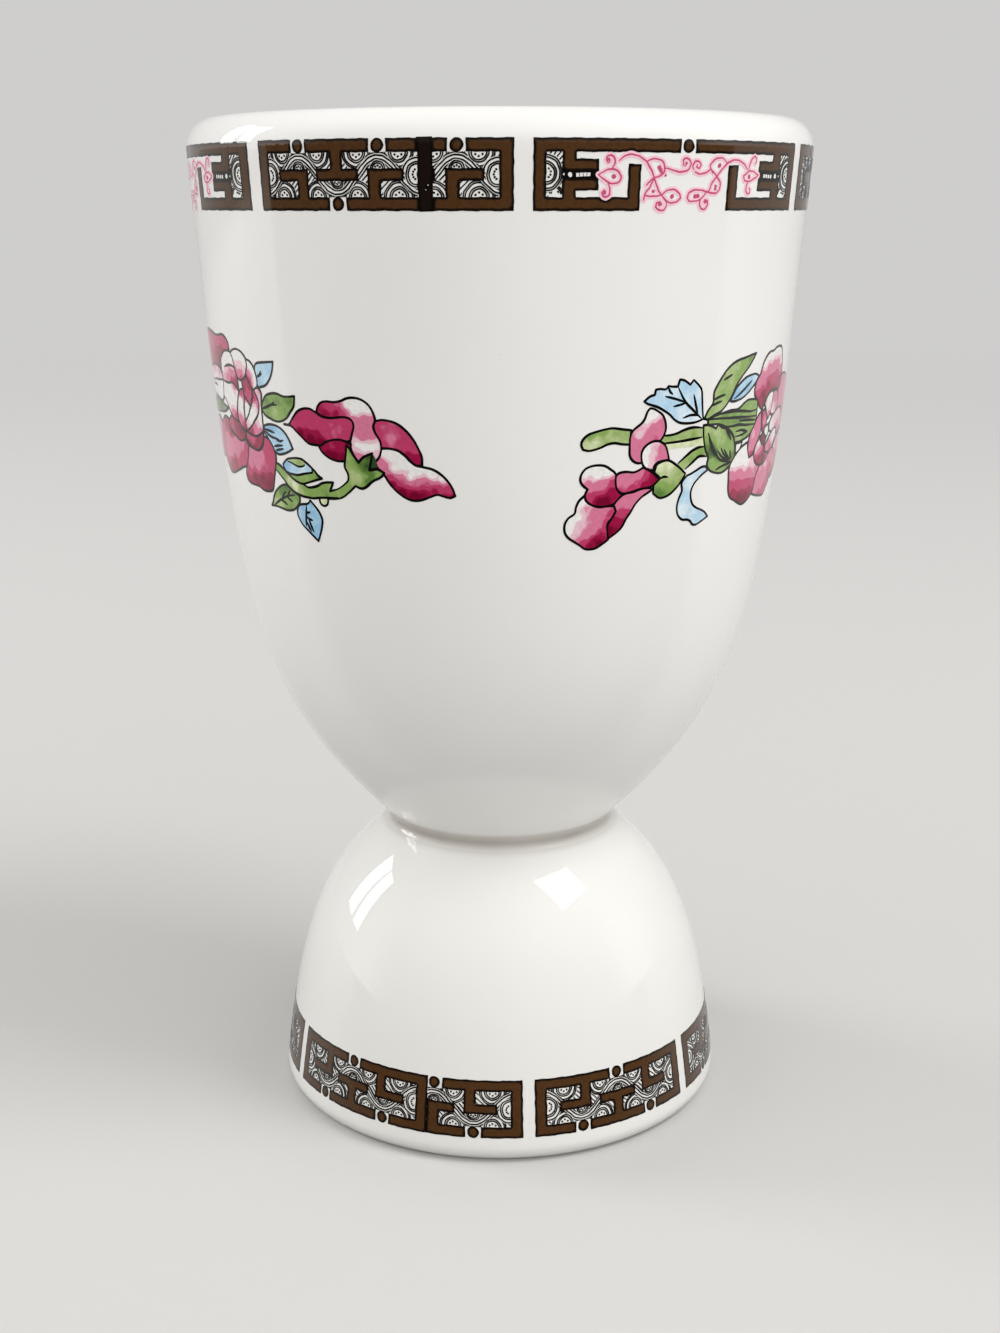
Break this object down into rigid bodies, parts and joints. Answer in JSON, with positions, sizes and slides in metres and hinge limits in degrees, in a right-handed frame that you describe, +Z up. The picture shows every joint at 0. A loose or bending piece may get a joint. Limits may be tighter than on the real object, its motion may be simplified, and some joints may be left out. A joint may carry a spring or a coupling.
{
  "type": "egg cup",
  "caption": "Double egg cup: a large cup stuck foot to foot to a small upturned cup, in white glazed earthenware with key fret borders and flower sprays.",
  "frame": {"origin": "centre of the flat ring that the small cup stands on", "axes": "+Z up the common axis of the two cups; -Y is the front, where two flower sprays and the seams of both borders meet; +X is to the right seen from the front"},
  "size_m": [0.0598, 0.0598, 0.098],
  "materials": {
    "glazed_clay": "clear glossy glaze over white earthenware",
    "glazed_slip": "clear glossy glaze over white slip",
    "brown_enamel": "fired transfer, dark brown with near-black edges",
    "crimson_enamel": "fired transfer, crimson to pale pink with green and pale blue leaves and black outlines"
  },
  "bodies": {
    "root": {"large_cup": "glazed_clay", "small_cup": "glazed_clay", "slip_joint": "glazed_slip", "rim_border_right": "brown_enamel", "rim_border_left": "brown_enamel", "foot_border": "brown_enamel", "front_left_spray": "crimson_enamel", "front_right_spray": "crimson_enamel", "back_left_spray": "crimson_enamel", "back_right_spray": "crimson_enamel"}
  },
  "joints": []
}
